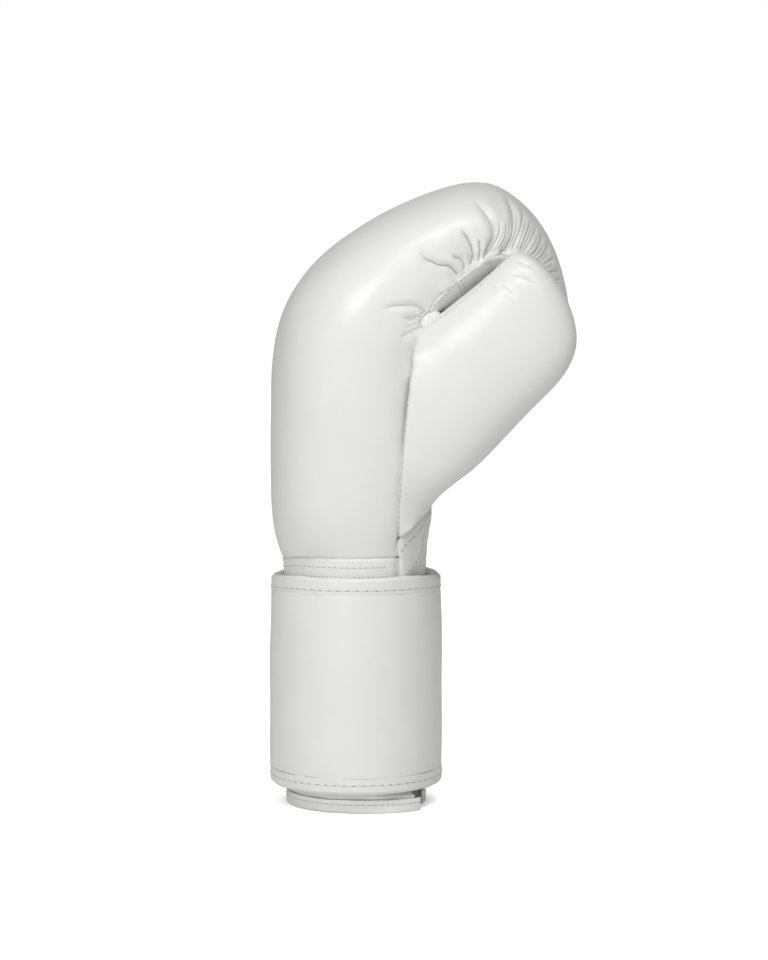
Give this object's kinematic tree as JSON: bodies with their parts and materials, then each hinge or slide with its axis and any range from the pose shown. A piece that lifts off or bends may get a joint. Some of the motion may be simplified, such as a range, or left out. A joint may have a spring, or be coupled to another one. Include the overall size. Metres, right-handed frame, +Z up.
{
  "type": "boxing glove",
  "caption": "Padded leather boxing glove for the left hand with a curved fist, attached thumb and a long cuff closed by a wide wrap-round wrist strap.",
  "frame": {"origin": "middle of the bounding box at the rim the glove stands on", "axes": "+Z up from the cuff's rim to the knuckles, +X from the back of the hand to the palm, -Y on the thumb side"},
  "size_m": [0.1574, 0.143, 0.3217],
  "materials": {
    "leather": "smooth semi-gloss white",
    "lining": "matt white lining cloth",
    "binding": "smooth semi-gloss white"
  },
  "bodies": {
    "root": {"hand_pad": "leather", "thumb_pad": "leather", "thumb_web": "leather", "palm_panel": "leather", "finger_strip": "leather", "heel_panel": "leather", "wrist_band": "leather", "cuff_sleeve": "lining", "cuff_hem": "binding", "wrist_strap": "leather", "strap_edge_top": "binding", "strap_edge_bottom": "binding"}
  },
  "joints": []
}
